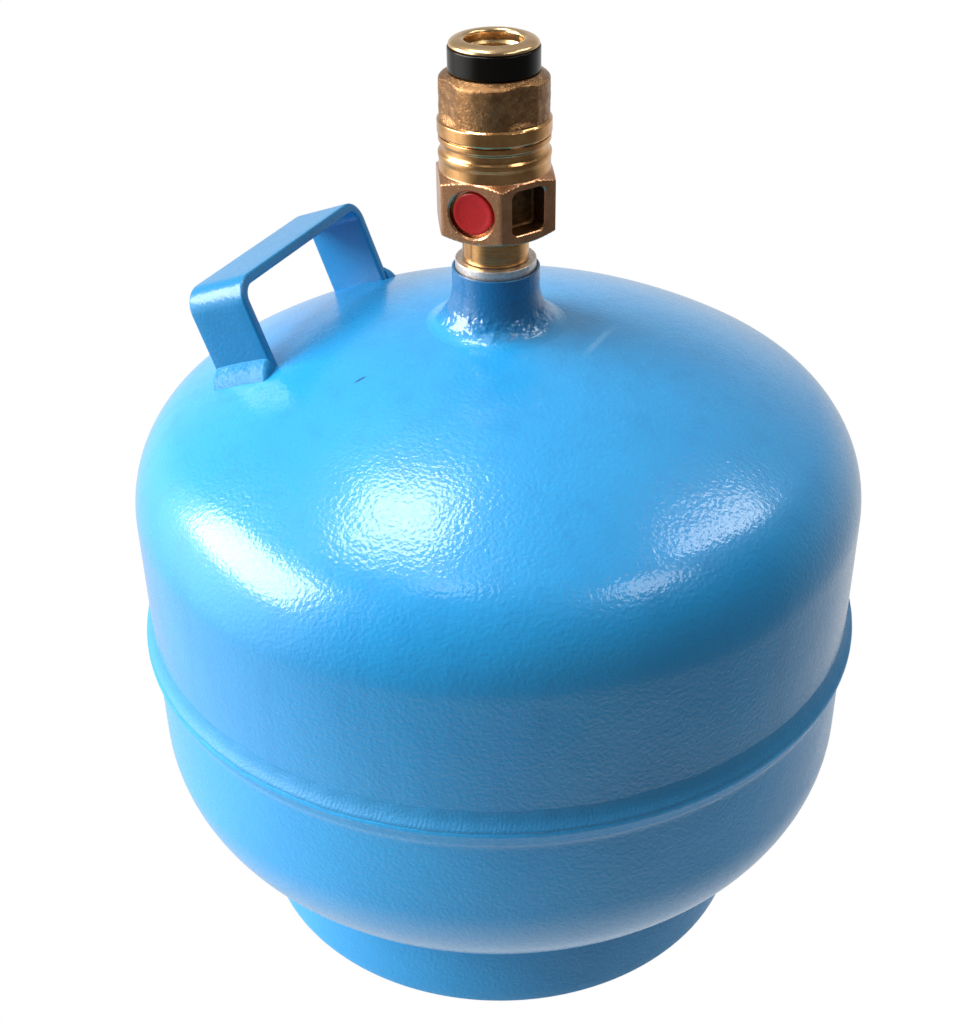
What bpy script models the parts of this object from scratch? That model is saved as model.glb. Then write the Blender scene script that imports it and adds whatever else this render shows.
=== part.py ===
"""A small refillable gas cylinder with a side relief valve.

Two pressed steel shells are joined by one welded seam. A foot ring, a valve boss and a strap handle
are welded on. The brass valve screws into the boss: a hexagonal body with the relief valve in one
face, and a forged outlet head with a self-closing poppet, a plastic sleeve and a turned nose ring.

Metres, +Z up. The origin is on the floor, on the vessel's axis. The relief valve faces -Y and the
handle stands on the -X side. The hexagon has corners on the X axis; the forged square is turned 9
degrees from it.
"""

import math

import bmesh
import bpy
from mathutils import Matrix, Vector

MM = 0.001
GAP = 0.3 * MM

# Vessel
SHELL_RADIUS = 108.0 * MM
SHELL_WALL = 2.2 * MM
UPPER_CROWN_RADIUS = 179.2 * MM
UPPER_KNUCKLE_RADIUS = 30.8 * MM
UPPER_TANGENT_Z = 142.2 * MM
LOWER_CROWN_RADIUS = 241.7 * MM
LOWER_KNUCKLE_RADIUS = 37.4 * MM
LOWER_TANGENT_Z = 66.8 * MM
SEAM_Z = 97.5 * MM
LIP_TOP_Z = 101.0 * MM
LIP_WALL = 2.0 * MM
SEAM_WELD_TOP_Z = 105.6 * MM
FOOT_RADIUS = 80.2 * MM
FOOT_WALL = 2.5 * MM
FOOT_WELD_LEG = 3.0 * MM

# Boss
BOSS_RADIUS = 12.4 * MM
BOSS_TOP_Z = 210.7 * MM
BOSS_BOTTOM_Z = 189.5 * MM
BOSS_BORE = 8.3 * MM
BOSS_WELD_TOP_Z = 204.0 * MM
BOSS_WELD_RADIUS = 20.5 * MM
WASHER_Z = 210.3 * MM
WASHER_TOP_Z = 213.2 * MM

# Handle
HANDLE_FROM_AXIS = 64.8 * MM
HANDLE_CENTRE_Y = 0.6 * MM
HANDLE_LENGTH = 70.4 * MM
HANDLE_HEIGHT = 23.8 * MM
HANDLE_STRAP_WIDTH = 20.0 * MM
HANDLE_STRAP_WALL = 3.0 * MM
HANDLE_BEND_RADIUS = 7.0 * MM
HANDLE_FOOT_DROP = 2.4 * MM
HANDLE_BEAD_RADIUS = 1.9 * MM

# Valve body and outlet head
STEM_RADIUS = 8.0 * MM
STEM_BOTTOM_Z = 186.0 * MM
NECK_RADIUS = 9.28 * MM
HEX_ACROSS_FLATS = 31.0 * MM
HEX_BOTTOM_Z = 222.4 * MM
HEX_TOP_Z = 239.3 * MM
LOWER_RING_RADIUS = 15.4 * MM
COLLAR_RADIUS = 15.3 * MM
GROOVE_RADIUS = 14.6 * MM
GROOVE_Z = 245.8 * MM
SPLIT_Z = 248.9 * MM
SOCKET_RADIUS = 10.0 * MM
SOCKET_FLOOR_Z = 242.5 * MM
GAS_PASSAGE_RADIUS = 3.5 * MM
GAS_PASSAGE_TOP_Z = 240.0 * MM
CHAMBER_RADIUS = 6.5 * MM
SEAT_Z = 258.0 * MM
SEAT_PASSAGE_RADIUS = 3.2 * MM
UPPER_RING_RADIUS = 15.5 * MM
UPPER_RING_TOP_Z = 253.0 * MM
SQUARE_ACROSS_FLATS = 28.0 * MM
SQUARE_CORNER_RADIUS = 14.6 * MM
SQUARE_TURN_DEGREES = 9.0
SQUARE_TOP_Z = 263.2 * MM
LEDGE_Z = 255.0 * MM
LEDGE_SLOPE = 2.0 / 1.4
SHOULDER_Z = 265.5 * MM
OUTLET_FLOOR_Z = 265.0 * MM
OUTLET_RADIUS = 7.6 * MM
SPIGOT_RADIUS = 10.2 * MM
SPIGOT_TOP_Z = 271.2 * MM
SLEEVE_RADIUS = 12.3 * MM
SLEEVE_TOP_Z = 272.0 * MM
NOSE_RADIUS = 12.0 * MM
NOSE_CREST_RADIUS = 9.2 * MM
NOSE_MOUTH_RADIUS = 8.2 * MM
NOSE_SKIRT_RADIUS = 10.2 * MM
NOSE_TOP_Z = 274.0 * MM

# Poppet
PIN_RADIUS = 1.6 * MM
PIN_TOP_Z = 268.0 * MM
POPPET_TOP_Z = 255.9 * MM
POPPET_BOTTOM_Z = 252.6 * MM
RETAINER_TOP_Z = 242.2 * MM

# Relief valve, along -Y; the distances are from the vessel's axis
RELIEF_Z = 231.0 * MM
RELIEF_PASSAGE_RADIUS = 1.6 * MM
RELIEF_BORE_RADIUS = 4.8 * MM
RELIEF_SEAT = 5.5 * MM
RELIEF_RECESS_RADIUS = 6.85 * MM
RELIEF_RECESS = 13.2 * MM
RELIEF_CAP_RADIUS = 5.9 * MM
RELIEF_CAP_FACE = 14.7 * MM

# Blind pockets in the two hexagon faces at -30 and 150 degrees
POCKET_WIDTH = 10.5 * MM
POCKET_HEIGHT = 11.9 * MM
POCKET_DEPTH = 5.0 * MM
POCKET_CORNER = 1.4 * MM

# Facets round each kind of turned piece
SHELL_STEPS = 40
VALVE_STEPS = 32
SMALL_STEPS = 24

COLOURS = {
    "blue_paint": ((0.020, 0.190, 0.560), 0.28, 0.0),
    "brass": ((0.780, 0.560, 0.270), 0.25, 1.0),
    "forged_brass": ((0.560, 0.400, 0.220), 0.55, 1.0),
    "black_plastic": ((0.012, 0.012, 0.013), 0.25, 0.0),
    "red_plastic": ((0.430, 0.015, 0.025), 0.35, 0.0),
    "aluminium": ((0.700, 0.710, 0.720), 0.40, 1.0),
    "rubber": ((0.020, 0.020, 0.020), 0.70, 0.0),
    "spring_steel": ((0.550, 0.550, 0.560), 0.30, 1.0),
}


def clear_scene():
    for old in list(bpy.data.objects):
        bpy.data.objects.remove(old, do_unlink=True)


def new_collection(name):
    collection = bpy.data.collections.new(name)
    bpy.context.scene.collection.children.link(collection)
    return collection


def make_material(name):
    colour, roughness, metallic = COLOURS[name]
    material = bpy.data.materials.new(name)
    material.use_nodes = True
    shader = material.node_tree.nodes["Principled BSDF"]
    shader.inputs["Base Color"].default_value = (*colour, 1.0)
    shader.inputs["Roughness"].default_value = roughness
    shader.inputs["Metallic"].default_value = metallic
    return material


def add_object(name, data, material=None):
    """Links a part with its material, or a cutter when there is no material."""
    obj = bpy.data.objects.new(name, data)
    if material is None:
        CUTTERS.objects.link(obj)
        obj.hide_render = True
        obj.display_type = "WIRE"
    else:
        PARTS.objects.link(obj)
        data.materials.append(MATERIALS[material])
    return obj


def arc(centre, radius, start, end, count):
    """Points (radius, height) on an arc; the angles are in degrees from the outward direction."""
    points = []
    for step in range(count + 1):
        angle = math.radians(start + (end - start) * step / count)
        points.append((centre[0] + radius * math.cos(angle), centre[1] + radius * math.sin(angle)))
    return points


def runs_down_outside(outline):
    """The outline in the order that makes a turned piece face outwards."""
    twice_area = 0.0
    for (r0, z0), (r1, z1) in zip(outline, outline[1:] + outline[:1]):
        twice_area += r0 * z1 - r1 * z0
    return outline if twice_area < 0 else outline[::-1]


def turned(name, outline, material=None, steps=VALVE_STEPS):
    """A piece turned about its own Z axis. An outline that starts and ends on the axis is left open there."""
    on_axis = outline[0][0] == 0.0 and outline[-1][0] == 0.0
    mesh = bpy.data.meshes.new(name)
    shape = bmesh.new()
    points = [shape.verts.new((r, 0.0, z)) for r, z in runs_down_outside(outline)]
    for first, second in zip(points, points[1:]):
        shape.edges.new((first, second))
    if not on_axis:
        shape.edges.new((points[-1], points[0]))
    shape.to_mesh(mesh)
    shape.free()
    obj = add_object(name, mesh, material)
    screw = obj.modifiers.new("turn", "SCREW")
    screw.steps = steps
    screw.render_steps = steps
    screw.use_merge_vertices = True
    screw.merge_threshold = 0.01 * MM
    screw.use_smooth_shade = False
    return obj


def combine(obj, other, operation="DIFFERENCE"):
    modifier = obj.modifiers.new(other.name, "BOOLEAN")
    modifier.operation = operation
    modifier.solver = "EXACT"
    modifier.object = other


def point_along_minus_y(obj, height):
    """Turns a piece so that its own +Z runs along world -Y, with its origin on the relief valve's axis."""
    obj.location = (0.0, 0.0, height)
    obj.rotation_euler = (math.radians(90.0), 0.0, 0.0)


def dished_end(crown_radius, knuckle_radius, tangent_z, side, inset, from_radius, count=5):
    """Points of a dished end from from_radius out to the cylinder; side is +1 for a top, -1 for a bottom.

    inset moves the surface inwards, so the outer and inner surfaces share their centres.
    """
    knuckle_r = SHELL_RADIUS - knuckle_radius
    rise = math.sqrt((crown_radius - knuckle_radius) ** 2 - knuckle_r**2)
    crown_z = tangent_z - side * rise
    join = math.degrees(math.atan2(rise, knuckle_r))
    radius = crown_radius - inset
    start = math.degrees(math.acos(from_radius / radius))
    points = arc((0.0, 0.0), radius, start, join, count)
    points += arc((knuckle_r, rise), knuckle_radius - inset, join, 0.0, count)[1:]
    if from_radius == 0.0:
        points[0] = (0.0, radius)
    return [(r, crown_z + side * height) for r, height in points]


def crown_height(crown_radius, knuckle_radius, tangent_z, side, radius):
    """Height of the outer crown at a radius, and of the knuckle further out."""
    knuckle_r = SHELL_RADIUS - knuckle_radius
    rise = math.sqrt((crown_radius - knuckle_radius) ** 2 - knuckle_r**2)
    if radius < knuckle_r * crown_radius / (crown_radius - knuckle_radius):
        return tangent_z + side * (math.sqrt(crown_radius**2 - radius**2) - rise)
    return tangent_z + side * math.sqrt(knuckle_radius**2 - (radius - knuckle_r) ** 2)


def upper_height(radius):
    return crown_height(UPPER_CROWN_RADIUS, UPPER_KNUCKLE_RADIUS, UPPER_TANGENT_Z, 1, radius)


def lower_height(radius):
    return crown_height(LOWER_CROWN_RADIUS, LOWER_KNUCKLE_RADIUS, LOWER_TANGENT_Z, -1, radius)


def make_shells():
    inner = SHELL_RADIUS - SHELL_WALL
    hole = BOSS_RADIUS + GAP
    upper = (UPPER_CROWN_RADIUS, UPPER_KNUCKLE_RADIUS, UPPER_TANGENT_Z, 1)
    outside = dished_end(*upper, 0.0, hole) + [(SHELL_RADIUS, SEAM_Z)]
    inside = dished_end(*upper, SHELL_WALL, hole) + [(inner, SEAM_Z)]
    turned("upper_shell", outside + inside[::-1], "blue_paint", SHELL_STEPS)

    lower = (LOWER_CROWN_RADIUS, LOWER_KNUCKLE_RADIUS, LOWER_TANGENT_Z, -1)
    lip_inner = SHELL_RADIUS + GAP
    lip_outer = lip_inner + LIP_WALL
    outside = dished_end(*lower, 0.0, 0.0)
    outside += [
        (SHELL_RADIUS, SEAM_Z - 2.2 * MM),
        (lip_outer, SEAM_Z - 0.4 * MM),
        (lip_outer, LIP_TOP_Z),
        (lip_inner, LIP_TOP_Z),
        (lip_inner, SEAM_Z - GAP),
        (inner, SEAM_Z - GAP),
    ]
    inside = dished_end(*lower, SHELL_WALL, 0.0)
    turned("lower_shell", outside + inside[::-1], "blue_paint", SHELL_STEPS)

    base = LIP_TOP_Z + GAP
    bead = [
        (lip_inner, SEAM_WELD_TOP_Z),
        (lip_inner + 0.9 * MM, SEAM_WELD_TOP_Z - 1.2 * MM),
        (lip_outer - 0.4 * MM, base + 1.1 * MM),
        (lip_outer - 0.2 * MM, base),
        (lip_inner, base),
    ]
    turned("seam_weld", bead, "blue_paint", SHELL_STEPS)


def make_foot():
    inner = FOOT_RADIUS - FOOT_WALL
    ring = [
        (FOOT_RADIUS, lower_height(FOOT_RADIUS) - GAP),
        (FOOT_RADIUS, 0.0),
        (inner, 0.0),
        (inner, lower_height(inner) - GAP),
    ]
    turned("foot_ring", ring, "blue_paint", SHELL_STEPS)
    near = FOOT_RADIUS + GAP
    far = near + FOOT_WELD_LEG
    bead = [
        (near, lower_height(near) - GAP),
        (far, lower_height(far) - GAP),
        (far - 0.6 * MM, lower_height(far) - 1.2 * MM),
        (near, lower_height(near) - FOOT_WELD_LEG),
    ]
    turned("foot_weld", bead, "blue_paint", SHELL_STEPS)


def make_boss():
    recess = WASHER_Z - GAP
    rim = BOSS_RADIUS - 0.6 * MM
    boss = [
        (rim, BOSS_TOP_Z),
        (BOSS_RADIUS, BOSS_TOP_Z - 0.5 * MM),
        (BOSS_RADIUS, BOSS_BOTTOM_Z),
        (BOSS_BORE, BOSS_BOTTOM_Z),
        (BOSS_BORE, recess),
        (rim, recess),
    ]
    turned("boss", boss, "blue_paint")
    inside = BOSS_RADIUS + GAP
    weld = [
        (inside, BOSS_WELD_TOP_Z),
        (inside + 0.7 * MM, BOSS_WELD_TOP_Z - 1.9 * MM),
        (inside + 2.1 * MM, BOSS_WELD_TOP_Z - 4.3 * MM),
        (inside + 4.1 * MM, BOSS_WELD_TOP_Z - 7.0 * MM),
        (inside + 5.8 * MM, BOSS_WELD_TOP_Z - 8.7 * MM),
        (BOSS_WELD_RADIUS, upper_height(BOSS_WELD_RADIUS) + 2 * GAP),
        (BOSS_WELD_RADIUS, upper_height(BOSS_WELD_RADIUS) + GAP),
        (inside, upper_height(inside) + GAP),
    ]
    turned("boss_weld", weld, "blue_paint")
    washer = [
        (11.2 * MM, WASHER_TOP_Z),
        (11.4 * MM, WASHER_TOP_Z - 0.2 * MM),
        (11.4 * MM, WASHER_Z),
        (STEM_RADIUS + GAP, WASHER_Z),
        (STEM_RADIUS + GAP, WASHER_TOP_Z),
    ]
    turned("sealing_washer", washer, "aluminium")


def handle_path():
    """Outer face of the strap in its own YZ plane, from the foot at -Y over the top to the foot at +Y."""
    half = HANDLE_LENGTH / 2
    bend_z = HANDLE_HEIGHT - HANDLE_BEND_RADIUS
    bend_y = half - HANDLE_BEND_RADIUS
    right = [(half, -HANDLE_FOOT_DROP)]
    right += arc((bend_y, bend_z), HANDLE_BEND_RADIUS, 0.0, 90.0, 6)
    left = [(-y, z) for y, z in right]
    return left + right[::-1]


def make_handle():
    tilt = -math.asin(HANDLE_FROM_AXIS / UPPER_CROWN_RADIUS)
    base = Vector((-HANDLE_FROM_AXIS, HANDLE_CENTRE_Y, upper_height(HANDLE_FROM_AXIS)))
    half_width = HANDLE_STRAP_WIDTH / 2
    shape = bmesh.new()
    rows = []
    for y, z in handle_path():
        rows.append([shape.verts.new((x, y, z)) for x in (-half_width, half_width)])
    for low, high in zip(rows, rows[1:]):
        shape.faces.new((low[0], low[1], high[1], high[0]))
    bmesh.ops.recalc_face_normals(shape, faces=shape.faces)
    if sum(face.normal.z for face in shape.faces) < 0:
        bmesh.ops.reverse_faces(shape, faces=shape.faces)
    mesh = bpy.data.meshes.new("handle")
    shape.to_mesh(mesh)
    shape.free()
    handle = add_object("handle", mesh, "blue_paint")
    handle.location = base
    handle.rotation_euler = (0.0, tilt, 0.0)
    solidify = handle.modifiers.new("strap", "SOLIDIFY")
    solidify.thickness = HANDLE_STRAP_WALL
    solidify.offset = -1.0
    solidify.use_even_offset = True

    for name, side in (("handle_weld_front", -1), ("handle_weld_rear", 1)):
        curve = bpy.data.curves.new(name, "CURVE")
        curve.dimensions = "3D"
        curve.bevel_depth = HANDLE_BEAD_RADIUS
        curve.bevel_resolution = 2
        curve.use_fill_caps = True
        reach = side * (HANDLE_LENGTH / 2 + GAP + HANDLE_BEAD_RADIUS)
        spline = curve.splines.new("POLY")
        spline.points.add(1)
        spline.points[0].co = (-half_width, reach, 0.0, 1.0)
        spline.points[1].co = (half_width, reach, 0.0, 1.0)
        bead = add_object(name, curve, "blue_paint")
        bead.location = base + Vector((0.0, 0.0, -1.3 * MM))
        bead.rotation_euler = (0.0, tilt, 0.0)


def hex_cutter(name, across_flats, bottom, top):
    """A ring with a hexagonal hole, which cuts flats on a turned piece; its corners lie on the X axis."""
    corner = across_flats / 2 / math.cos(math.radians(30.0))
    outside = 30.0 * MM
    outline = [(outside, top), (outside, bottom), (corner, bottom), (corner, top)]
    return turned(name, outline, steps=6)


def pocket_cutter(name, azimuth):
    """A rounded square plug that cuts the blind pocket in the hexagon face at this azimuth."""
    face = HEX_ACROSS_FLATS / 2
    depth = POCKET_DEPTH + 2.0 * MM
    mesh = bpy.data.meshes.new(name)
    shape = bmesh.new()
    bmesh.ops.create_cube(shape, size=1.0)
    bmesh.ops.scale(shape, vec=(depth, POCKET_WIDTH, POCKET_HEIGHT), verts=shape.verts)
    along = [edge for edge in shape.edges if abs(edge.verts[0].co.x - edge.verts[1].co.x) > depth / 2]
    bmesh.ops.bevel(shape, geom=along, offset=POCKET_CORNER, segments=3, affect="EDGES", profile=0.5)
    bmesh.ops.translate(shape, vec=(face - POCKET_DEPTH + depth / 2, 0.0, RELIEF_Z), verts=shape.verts)
    bmesh.ops.rotate(shape, matrix=Matrix.Rotation(math.radians(azimuth), 3, "Z"), verts=shape.verts)
    shape.to_mesh(mesh)
    shape.free()
    return add_object(name, mesh)


def make_valve_body():
    corner = HEX_ACROSS_FLATS / 2 / math.cos(math.radians(30.0))
    outline = [
        (SOCKET_RADIUS, SPLIT_Z),
        (COLLAR_RADIUS, SPLIT_Z),
        (COLLAR_RADIUS, SPLIT_Z - 1.1 * MM),
        (GROOVE_RADIUS + 0.15 * MM, GROOVE_Z + 1.0 * MM),
        (GROOVE_RADIUS, GROOVE_Z),
        (GROOVE_RADIUS + 0.15 * MM, GROOVE_Z - 1.0 * MM),
        (LOWER_RING_RADIUS, GROOVE_Z - 1.9 * MM),
        (LOWER_RING_RADIUS, HEX_TOP_Z),
        (corner, HEX_TOP_Z - 1.3 * MM),
        (corner, HEX_BOTTOM_Z + 1.4 * MM),
        (LOWER_RING_RADIUS, HEX_BOTTOM_Z),
        (NECK_RADIUS, HEX_BOTTOM_Z),
        (NECK_RADIUS, WASHER_TOP_Z + GAP),
        (STEM_RADIUS, WASHER_TOP_Z + GAP),
        (STEM_RADIUS, STEM_BOTTOM_Z + 1.0 * MM),
        (STEM_RADIUS - 1.0 * MM, STEM_BOTTOM_Z),
        (GAS_PASSAGE_RADIUS, STEM_BOTTOM_Z),
        (GAS_PASSAGE_RADIUS, GAS_PASSAGE_TOP_Z),
        (CHAMBER_RADIUS, GAS_PASSAGE_TOP_Z),
        (CHAMBER_RADIUS, SOCKET_FLOOR_Z),
        (SOCKET_RADIUS, SOCKET_FLOOR_Z),
    ]
    body = turned("valve_body", outline, "forged_brass")
    combine(body, hex_cutter("hex_flats", HEX_ACROSS_FLATS, HEX_BOTTOM_Z - 1.0 * MM, HEX_TOP_Z + 0.4 * MM))
    face = HEX_ACROSS_FLATS / 2
    bore = [
        (0.0, 2.0 * MM),
        (RELIEF_PASSAGE_RADIUS, 2.0 * MM),
        (RELIEF_PASSAGE_RADIUS, RELIEF_SEAT),
        (RELIEF_BORE_RADIUS, RELIEF_SEAT),
        (RELIEF_BORE_RADIUS, RELIEF_RECESS),
        (RELIEF_RECESS_RADIUS, RELIEF_RECESS),
        (RELIEF_RECESS_RADIUS, face - 0.4 * MM),
        (RELIEF_RECESS_RADIUS + 1.9 * MM, face + 1.5 * MM),
        (0.0, face + 1.5 * MM),
    ]
    relief_bore = turned("relief_bore", bore, steps=SMALL_STEPS)
    point_along_minus_y(relief_bore, RELIEF_Z)
    combine(body, relief_bore)
    combine(body, pocket_cutter("pocket_right", -30.0))
    combine(body, pocket_cutter("pocket_left", 150.0))


def square_cutter():
    """A ring with a coned bottom and a square hole, which cuts four flats above the upper ring."""
    half = SQUARE_ACROSS_FLATS / 2
    inner = half - 1.0 * MM
    outer = half + 6.0 * MM
    top = SHOULDER_Z + 1.0 * MM
    ring = [
        (inner, top),
        (outer, top),
        (outer, LEDGE_Z - LEDGE_SLOPE * (outer - half)),
        (inner, LEDGE_Z - LEDGE_SLOPE * (inner - half)),
    ]
    corner = half * math.sqrt(2.0)
    bottom = SPLIT_Z - 5.0 * MM
    above = top + 1.0 * MM
    square = turned("square", [(0.0, above), (corner, above), (corner, bottom), (0.0, bottom)], steps=4)
    square.rotation_euler = (0.0, 0.0, math.radians(SQUARE_TURN_DEGREES))
    flats = turned("square_flats", ring)
    combine(flats, square)
    return flats


def make_outlet_head():
    spigot = SOCKET_RADIUS - GAP
    bottom = SOCKET_FLOOR_Z + GAP
    ring_bottom = SPLIT_Z + GAP
    groove_z = 245.6 * MM
    outline = [
        (OUTLET_RADIUS + 0.6 * MM, SPIGOT_TOP_Z),
        (SPIGOT_RADIUS, SPIGOT_TOP_Z),
        (SPIGOT_RADIUS, SHOULDER_Z),
        (SLEEVE_RADIUS + 0.1 * MM, SHOULDER_Z),
        (SQUARE_CORNER_RADIUS, SQUARE_TOP_Z),
        (SQUARE_CORNER_RADIUS, UPPER_RING_TOP_Z + 0.5 * MM),
        (UPPER_RING_RADIUS, UPPER_RING_TOP_Z),
        (UPPER_RING_RADIUS, ring_bottom + 0.5 * MM),
        (UPPER_RING_RADIUS - 0.5 * MM, ring_bottom),
        (spigot, ring_bottom),
        (spigot, groove_z + 1.6 * MM),
        (spigot - 1.4 * MM, groove_z + 1.6 * MM),
        (spigot - 1.4 * MM, groove_z),
        (spigot, groove_z),
        (spigot, bottom),
        (CHAMBER_RADIUS, bottom),
        (CHAMBER_RADIUS, SEAT_Z),
        (SEAT_PASSAGE_RADIUS, SEAT_Z),
        (SEAT_PASSAGE_RADIUS, OUTLET_FLOOR_Z),
        (OUTLET_RADIUS, OUTLET_FLOOR_Z),
        (OUTLET_RADIUS, SPIGOT_TOP_Z - 1.0 * MM),
    ]
    head = turned("outlet_head", outline, "forged_brass")
    combine(head, square_cutter())
    ring = arc((spigot - 0.65 * MM, groove_z + 0.8 * MM), 0.5 * MM, 0.0, 315.0, 7)
    turned("head_o_ring", ring, "rubber", SMALL_STEPS)

    sleeve_inner = SPIGOT_RADIUS + GAP
    sleeve = [
        (SLEEVE_RADIUS - 0.3 * MM, SLEEVE_TOP_Z),
        (SLEEVE_RADIUS, SLEEVE_TOP_Z - 0.3 * MM),
        (SLEEVE_RADIUS, SHOULDER_Z + GAP),
        (sleeve_inner, SHOULDER_Z + GAP),
        (sleeve_inner, SLEEVE_TOP_Z),
    ]
    turned("outlet_sleeve", sleeve, "black_plastic")

    base = SLEEVE_TOP_Z + GAP
    edge = base + 0.2 * MM
    lip = NOSE_CREST_RADIUS - NOSE_MOUTH_RADIUS
    nose = [(NOSE_SKIRT_RADIUS, SPIGOT_TOP_Z + GAP), (NOSE_SKIRT_RADIUS, base), (NOSE_RADIUS, base)]
    for across, up in arc((0.0, 0.0), 1.0, 0.0, 90.0, 6):
        radius = NOSE_CREST_RADIUS + (NOSE_RADIUS - NOSE_CREST_RADIUS) * across
        nose.append((radius, edge + (NOSE_TOP_Z - edge) * up))
    nose += arc((NOSE_CREST_RADIUS, NOSE_TOP_Z - lip), lip, 90.0, 180.0, 3)[1:]
    nose.append((NOSE_MOUTH_RADIUS, SPIGOT_TOP_Z + GAP))
    turned("outlet_nose", nose, "brass")

    seal = [
        (OUTLET_RADIUS - GAP, OUTLET_FLOOR_Z + 2.0 * MM),
        (OUTLET_RADIUS - GAP, OUTLET_FLOOR_Z + GAP),
        (SEAT_PASSAGE_RADIUS + GAP, OUTLET_FLOOR_Z + GAP),
        (SEAT_PASSAGE_RADIUS + GAP, OUTLET_FLOOR_Z + 2.0 * MM),
    ]
    turned("outlet_seal", seal, "rubber", SMALL_STEPS)


def coil(name, radius, wire, start, end, turns, points_per_turn=10):
    """A coil spring about its own Z axis, its wire between the heights start and end."""
    curve = bpy.data.curves.new(name, "CURVE")
    curve.dimensions = "3D"
    curve.bevel_depth = wire
    curve.bevel_resolution = 1
    curve.use_fill_caps = True
    count = turns * points_per_turn
    spline = curve.splines.new("POLY")
    spline.points.add(count)
    for step in range(count + 1):
        angle = 2 * math.pi * step / points_per_turn
        height = start + wire + (end - start - 2 * wire) * step / count
        spline.points[step].co = (radius * math.cos(angle), radius * math.sin(angle), height, 1.0)
    return add_object(name, curve, "spring_steel")


def make_poppet():
    poppet = [
        (0.0, PIN_TOP_Z),
        (PIN_RADIUS - 0.3 * MM, PIN_TOP_Z),
        (PIN_RADIUS, PIN_TOP_Z - 0.3 * MM),
        (PIN_RADIUS, POPPET_TOP_Z),
        (5.2 * MM, POPPET_TOP_Z),
        (5.2 * MM, POPPET_BOTTOM_Z),
        (2.2 * MM, POPPET_BOTTOM_Z),
        (2.2 * MM, POPPET_BOTTOM_Z - 3.0 * MM),
        (0.0, POPPET_BOTTOM_Z - 3.0 * MM),
    ]
    turned("check_poppet", poppet, "brass", SMALL_STEPS)
    seal = [
        (4.9 * MM, SEAT_Z - GAP),
        (4.9 * MM, POPPET_TOP_Z + GAP),
        (PIN_RADIUS + GAP, POPPET_TOP_Z + GAP),
        (PIN_RADIUS + GAP, SEAT_Z - GAP),
    ]
    turned("poppet_seal", seal, "rubber", SMALL_STEPS)
    coil("poppet_spring", 3.9 * MM, 0.4 * MM, RETAINER_TOP_Z + GAP, POPPET_BOTTOM_Z - GAP, 5)
    retainer = [
        (CHAMBER_RADIUS - GAP, RETAINER_TOP_Z),
        (CHAMBER_RADIUS - GAP, GAS_PASSAGE_TOP_Z + GAP),
        (2.4 * MM, GAS_PASSAGE_TOP_Z + GAP),
        (2.4 * MM, RETAINER_TOP_Z),
    ]
    turned("spring_retainer", retainer, "brass", SMALL_STEPS)


def make_relief_valve():
    seal_back = RELIEF_SEAT + GAP
    piston_back = seal_back + 1.3 * MM
    piston_front = piston_back + 1.2 * MM
    plug_back = 11.9 * MM
    plug_front = RELIEF_RECESS - 0.1 * MM
    seal = [(0.0, seal_back), (3.6 * MM, seal_back), (3.6 * MM, piston_back - GAP), (0.0, piston_back - GAP)]
    piston = [
        (0.0, piston_back),
        (3.9 * MM, piston_back),
        (3.9 * MM, piston_front),
        (1.3 * MM, piston_front),
        (1.3 * MM, plug_back - GAP),
        (0.0, plug_back - GAP),
    ]
    plug = [
        (1.8 * MM, plug_back),
        (RELIEF_BORE_RADIUS - GAP, plug_back),
        (RELIEF_BORE_RADIUS - GAP, plug_front),
        (1.8 * MM, plug_front),
    ]
    cap = [
        (0.0, RELIEF_RECESS + GAP),
        (RELIEF_CAP_RADIUS, RELIEF_RECESS + GAP),
        (RELIEF_CAP_RADIUS, RELIEF_CAP_FACE - 0.4 * MM),
        (RELIEF_CAP_RADIUS - 0.4 * MM, RELIEF_CAP_FACE),
        (0.0, RELIEF_CAP_FACE),
    ]
    pieces = [
        turned("relief_seal", seal, "rubber", SMALL_STEPS),
        turned("relief_piston", piston, "brass", SMALL_STEPS),
        turned("relief_plug", plug, "brass", SMALL_STEPS),
        turned("relief_cap", cap, "red_plastic", SMALL_STEPS),
        coil("relief_spring", 2.9 * MM, 0.35 * MM, piston_front + GAP, plug_back - 1.1 * MM, 2),
    ]
    for piece in pieces:
        point_along_minus_y(piece, RELIEF_Z)


clear_scene()
PARTS = new_collection("gas_cylinder")
CUTTERS = new_collection("cutters")
CUTTERS.hide_render = True
MATERIALS = {name: make_material(name) for name in COLOURS}
make_shells()
make_foot()
make_boss()
make_handle()
make_valve_body()
make_outlet_head()
make_poppet()
make_relief_valve()
for part in PARTS.objects:
    if part.type == "MESH":
        part.data.shade_smooth()
        part.data.set_sharp_from_angle(angle=math.radians(30.0))
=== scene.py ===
"""Looks, light and camera for a small blue gas cylinder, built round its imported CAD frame.
"""

import math

import bmesh
import bpy
import numpy as np
from mathutils import Matrix, Vector, noise


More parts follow.
